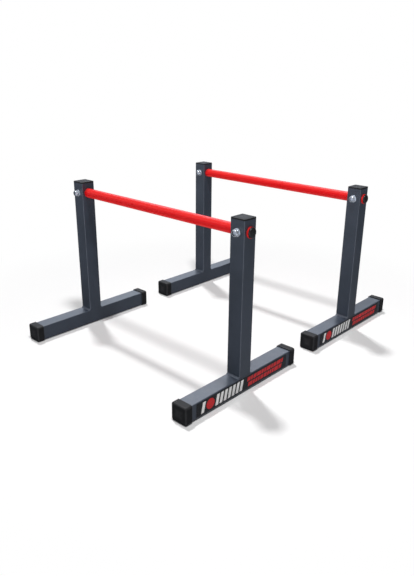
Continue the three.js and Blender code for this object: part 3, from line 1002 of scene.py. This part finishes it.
nylon, tree, surface = new_finish("dark_nylon", Metallic=0.0, IOR=1.53)
grain = use_group(tree, moulded_grain, Grain_Size=0.4)
rub_and_highlight = use_group(tree, edge_rub_and_highlight, Amount=0.3, Patch_Size=3.0)["Mask"]
colour = layered(tree, NYLON_DEEP, (grain["Cloud"], NYLON_PALE), (rub_and_highlight, BLACK_RUBBED))
gloss = varied(tree, 0.36, (grain["Cloud"], 0.12), (rub_and_highlight, -0.08))
connect_surface(tree, surface, colour, gloss, grain["Height"], 0.02)

# %% [markdown]
# Bright zinc plate is thin and a little uneven. It is passivated in a bath that leaves a blue tint, with
# patches of straw where the film is thicker. The steel under it keeps fine lines from rolling and tumbling.

# %% Zinc plate
ZINC_BLUE = (0.68, 0.76, 0.88, 1)
ZINC_STRAW = (0.78, 0.78, 0.76, 1)
ZINC_BRIGHT = (0.93, 0.95, 0.98, 1)

zinc, tree, surface = new_finish("zinc_plate", Metallic=0.7)
where = object_place(tree)
tint = spread(tree, cloud(tree, where, 210.0, 3.0, 0.6), 0.5, 0.72)
tumbled = cloud(tree, where, 1600.0, 3.0, 0.7)
rub_and_highlight = use_group(tree, edge_rub_and_highlight, Amount=0.7, Patch_Size=3.0)["Mask"]
marks = use_group(tree, handling_marks, Amount=0.7)["Mask"]
colour = layered(tree, ZINC_BLUE, (tint, ZINC_STRAW), (rub_and_highlight, ZINC_BRIGHT))
gloss = varied(tree, 0.17, (spread(tree, tumbled, *NOISE_SPAN), 0.14), (marks, 0.15), (rub_and_highlight, -0.05))
connect_surface(tree, surface, colour, gloss, tumbled, 0.03)

# %% [markdown]
# The label is one film, so all three of its inks share a surface: a satin skin with small dimples from the
# adhesive. Only the colours differ, so a function makes each ink.

# %% Printed film in three inks
FILM_BLACK = ((0.0040, 0.0042, 0.0050, 1), (0.007, 0.007, 0.008, 1))
INK_WHITE = ((0.90, 0.90, 0.89, 1), (0.96, 0.96, 0.95, 1))
INK_RED = ((0.62, 0.0030, 0.006, 1), (0.70, 0.0050, 0.008, 1))


def ink(name, shades):
    """A printed film in two close shades."""
    material, tree, surface = new_finish(name, Metallic=0.0, IOR=1.38)
    film = use_group(tree, coat_skin, Peel_Size=3.2, Cloud_Size=40.0)
    marks = use_group(tree, handling_marks, Amount=0.7)["Mask"]
    fleck = times(tree, film["Fleck"], 0.15)
    colour = layered(tree, shades[0], (film["Cloud"], shades[1]), (fleck, DUST))
    gloss = varied(tree, 0.30, (film["Cloud"], 0.06), (marks, 0.25))
    connect_surface(tree, surface, colour, gloss, film["Height"], 0.03)
    return material


inks = [ink("label_film", FILM_BLACK), ink("label_white_ink", INK_WHITE), ink("label_red_ink", INK_RED)]

# %% [markdown]
# ## Assembly
#
# Each kind of piece was made once, about its own Z axis. Putting it in place takes three facts: the CAD node
# that it stands for, the way its Z axis points, and how far its Z = 0 lies below the outer face of the node's
# box. The move is baked into the mesh, so the object stays at the origin as the CAD nodes do. The piece then
# rides on its stand, so that the right stand slides as one.

# %% Put one piece in place
SLOTS = {part["node"]: part["material_slot"] for part in frame["record"]["subparts"]}
FINISHES = {
    "graphite_coat": [graphite], "red_coat": [red], "black_plastic": [black], "plug_plastic": [plug_black],
    "zinc_plate": [zinc], "dark_nylon": [nylon], "label_film": inks,
}
BODY_OF = {node: body for body, nodes in frame["record"]["behaviour"]["bodies"].items() for node in nodes}
SMOOTH_BELOW = math.radians(38)
made_pieces = []


def put(mesh, node, outward, depth, twist=0.0):
    """Places a copy of a mesh for a CAD node: its Z axis outward, its zero at a depth in the node's box."""
    low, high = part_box(node)
    outward = Vector(outward)
    centre = (low + high) / 2
    face = centre + outward * abs(outward.dot(high - low)) / 2
    turn = Vector((0, 0, 1)).rotation_difference(outward).to_matrix().to_4x4()
    spin = Matrix.Rotation(twist, 4, "Z")
    piece = bpy.data.objects.new(f"{node}.fine", mesh.copy())
    bpy.context.scene.collection.objects.link(piece)
    piece.data.transform(Matrix.Translation(face - outward * depth * MM) @ turn @ spin @ Matrix.Scale(MM, 4))
    piece.data.shade_smooth()
    piece.data.set_sharp_from_angle(angle=SMOOTH_BELOW)
    for material in FINISHES[SLOTS[node]]:
        piece.data.materials.append(material)
    tidy = piece.modifiers.new("flats first", "WEIGHTED_NORMAL")
    tidy.keep_sharp = True
    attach(piece, BODY_OF[node])
    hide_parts(node)
    made_pieces.append(piece)
    return piece


# %% Build both stands
HEX_TWIST = random.Random(12)

for side in ("left", "right"):
    put(grip_bar, f"{side}_grip_bar", (0, 1, 0), BAR_LENGTH / 2)
    put(label, f"{side}_front_label", (0, -1, 0), LABEL_THICKNESS)
    for leg, out in (("front", -1), ("rear", 1)):
        name = f"{side}_{leg}"
        put(foot_tube, f"{name}_foot_tube", (1, 0, 0), FOOT_LENGTH)
        put(foot_cap, f"{name}_foot_cap_left", (-1, 0, 0), CAP_LENGTH)
        put(foot_cap, f"{name}_foot_cap_right", (1, 0, 0), CAP_LENGTH)
        put(upright, f"{name}_upright", (0, 0, 1), UPRIGHT_LENGTH)
        bead_rise = (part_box(f"{name}_weld_bead")[1].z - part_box(f"{name}_foot_tube")[1].z) / MM
        put(weld_bead, f"{name}_weld_bead", (0, 0, 1), bead_rise)
        put(top_cap, f"{name}_top_cap", (0, 0, 1), PLATE)
        put(bar_plug, f"{name}_bar_plug", (0, out, 0), PLUG_HEAD)
        put(washer, f"{name}_head_washer", (1, 0, 0), WASHER)
        put(bolt, f"{name}_bolt", (1, 0, 0), HEAD_HEIGHT, HEX_TWIST.uniform(0, math.pi / 3))
        put(washer, f"{name}_nut_washer", (-1, 0, 0), WASHER)
        put(lock_nut, f"{name}_lock_nut", (-1, 0, 0), NUT_HEIGHT, HEX_TWIST.uniform(0, math.pi / 3))
        put(nylon_ring, f"{name}_nylon_ring", (-1, 0, 0), RING_HEIGHT)
print("pieces:", len(made_pieces), "faces:", sum(len(piece.data.polygons) for piece in made_pieces))

# %% [markdown]
# ## The studio
#
# The floor is plain and pale and has no edge in sight: past the stands it turns into a plain white glow. It
# takes light and shadow but isn't seen in reflections, so the sides of the tubes stay deep while their tops
# are bright.

# %% Lay the floor
FLOOR_SIZE = 60.0
FLOOR_FADE = (0.72, 1.3)
PAPER_DEEP = (0.86, 0.86, 0.86, 1)
PAPER_PALE = (0.88, 0.88, 0.88, 1)
WHITE_LIGHT = (1, 1, 1, 1)

sheet = bmesh.new()
bmesh.ops.create_grid(sheet, x_segments=1, y_segments=1, size=FLOOR_SIZE / 2)
floor = bpy.data.objects.new("floor", to_mesh(sheet))
bpy.context.scene.collection.objects.link(floor)
floor.location.z = CAD_LOW.z
floor.visible_glossy = False
paper, tree, surface = new_finish("studio_paper", Roughness=0.9, Specular_IOR_Level=0.0)
where = object_place(tree)
tone = blend_colours(tree, cloud(tree, where, 3.0), PAPER_DEEP, PAPER_PALE)
tree.links.new(tone, surface["Base Color"])
away = add(tree, "ShaderNodeVectorMath", {0: where}, operation="LENGTH").outputs["Value"]
glow = add(tree, "ShaderNodeEmission", {"Color": WHITE_LIGHT, "Strength": 1.0})
lit = find(tree, "BSDF_PRINCIPLED").outputs[0]
fade = add(tree, "ShaderNodeMixShader", {0: spread(tree, away, *FLOOR_FADE), 1: lit, 2: glow.outputs[0]})
tree.links.new(fade.outputs[0], find(tree, "OUTPUT_MATERIAL").inputs["Surface"])
floor.data.materials.append(paper)
print(f"floor: {FLOOR_SIZE:.0f} m across, plain white from {FLOOR_FADE[1]} m out")

# %% [markdown]
# The key light is small and far off behind the stands, so each bar and upright throws one shadow forward. A
# wide soft panel nearly overhead throws the second, paler one.

# %% Set the lights
KEY_TOWARD = Vector((84, 196, 532))
KEY_STRENGTH = 1.74
KEY_SPREAD = math.radians(4.6)
PANEL_PLACE = Vector((-0.60, -0.56, 2.96))
PANEL_SIZE = 0.43
PANEL_POWER = 5.6
KEY_SCALE = 0.005  # where a sun lamp hangs doesn't matter, and this puts it about 3 m up


def light(kind, name, place, toward, **settings):
    """A light at a place, shining along the opposite of toward."""
    lamp = bpy.data.lights.new(name, kind)
    for key, value in settings.items():
        setattr(lamp, key, value)
    holder = bpy.data.objects.new(name, lamp)
    bpy.context.scene.collection.objects.link(holder)
    holder.location = place
    holder.rotation_euler = toward.to_track_quat("Z", "Y").to_euler()
    return holder


light("SUN", "key", KEY_TOWARD * KEY_SCALE, KEY_TOWARD, energy=KEY_STRENGTH, angle=KEY_SPREAD)
panel = light("AREA", "panel", PANEL_PLACE, PANEL_PLACE, energy=PANEL_POWER, size=PANEL_SIZE, shape="DISK")
panel.data.use_nodes = True
tree = panel.data.node_tree
even = add(tree, "ShaderNodeLightFalloff", {"Strength": 1.0}).outputs["Constant"]
tree.links.new(even, find(tree, "EMISSION").inputs["Strength"])
print("lights: key", KEY_STRENGTH, "and panel", PANEL_POWER)

# %% [markdown]
# The room answers each kind of ray in its own way. The camera sees plain white. A mirrored ray sees a dim
# room with five bright patches, and each patch lies where one set of faces reflects it to the camera. A
# diffuse ray sees only a faint glow from the front, which keeps the shadows from going black.

# %% Light the room
PATCHES = (  # (direction, cosine where it starts, cosine where it is full, how bright it gets)
    ((0.53, 0.53, 0.66), 0.86, 1.0, 1.0),  # rear right
    ((-0.86, 0.46, 0.30), 0.76, 1.0, 0.42),  # left
    ((-0.60, -0.72, -0.35), 0.80, 0.97, 0.42),  # low in front
    ((-0.16, -0.30, 0.94), 0.90, 0.98, 0.40),  # overhead
    ((0.45, -0.45, -0.77), 0.76, 0.88, 0.09),  # low on the right
)
GLOW = ((-0.40, -0.75, 0.55), -0.3, 0.9)
ROOM_DIM = (0.08, 0.08, 0.09, 1)
ROOM_BRIGHT = (2.60, 2.82, 3.20, 1)
FILL_DIM = (0.02, 0.02, 0.02, 1)
FILL_BRIGHT = (0.19, 0.19, 0.195, 1)

world = bpy.data.worlds.new("room")
world.use_nodes = True
bpy.context.scene.world = world
tree = world.node_tree
seen = find(tree, "BACKGROUND")
direction = add(tree, "ShaderNodeTexCoord").outputs["Generated"]


def facing(way, low, high, most=1.0):
    """How much a direction faces one way: 0 up to a low cosine, and the most from a high one."""
    ways = {0: direction, 1: Vector(way).normalized()}
    cosine = add(tree, "ShaderNodeVectorMath", ways, operation="DOT_PRODUCT").outputs["Value"]
    return spread(tree, cosine, low, high, 0.0, most)


mirrored = ROOM_DIM
for patch in PATCHES:
    mirrored = blend_colours(tree, facing(*patch), mirrored, ROOM_BRIGHT)
fill = blend_colours(tree, facing(*GLOW), FILL_DIM, FILL_BRIGHT)
path = add(tree, "ShaderNodeLightPath").outputs
room = blend_colours(tree, path["Is Glossy Ray"], fill, mirrored)
tree.links.new(blend_colours(tree, path["Is Camera Ray"], room, WHITE_LIGHT), seen.inputs["Color"])
print("room:", len(PATCHES), "patches")

# %% [markdown]
# ## The camera
#
# It stands in front and to the left of the pair, a little above them, with a normal lens. Plain display
# colours, without a film curve, keep the white of the studio white.

# %% Place the camera
CAMERA_PLACE = Vector((-1.4763, -1.3271, 0.9035))
AZIMUTH, ELEVATION, ROLL = (math.radians(v) for v in (-47.21, 20.44, 0.65))
LENS = 35.87
SENSOR = 36.0
SHIFT = (-0.00495, -0.00854)

level = math.cos(ELEVATION)
back = Vector((math.sin(AZIMUTH) * level, -math.cos(AZIMUTH) * level, math.sin(ELEVATION)))
right = Vector((0, 0, 1)).cross(back).normalized()
up = back.cross(right)
axes = (right * math.cos(ROLL) + up * math.sin(ROLL), up * math.cos(ROLL) - right * math.sin(ROLL), back)
view = bpy.data.cameras.new("view")
view.lens, view.sensor_width = LENS, SENSOR
view.shift_x, view.shift_y = SHIFT
camera = bpy.data.objects.new("camera", view)
bpy.context.scene.collection.objects.link(camera)
camera.matrix_world = Matrix.Translation(CAMERA_PLACE) @ Matrix(axes).transposed().to_4x4()
bpy.context.scene.camera = camera
bpy.context.scene.view_settings.view_transform = "Standard"
print(f"camera {(CAMERA_PLACE - (CAD_LOW + CAD_HIGH) / 2).length:.2f} m from the middle of the pair")

# %% [markdown]
# ## The last step
#
# The finer pieces must not make the object larger than its CAD model.
# The last cell brings the view layer up to date.

# %% Update the view layer
bpy.context.view_layer.update()
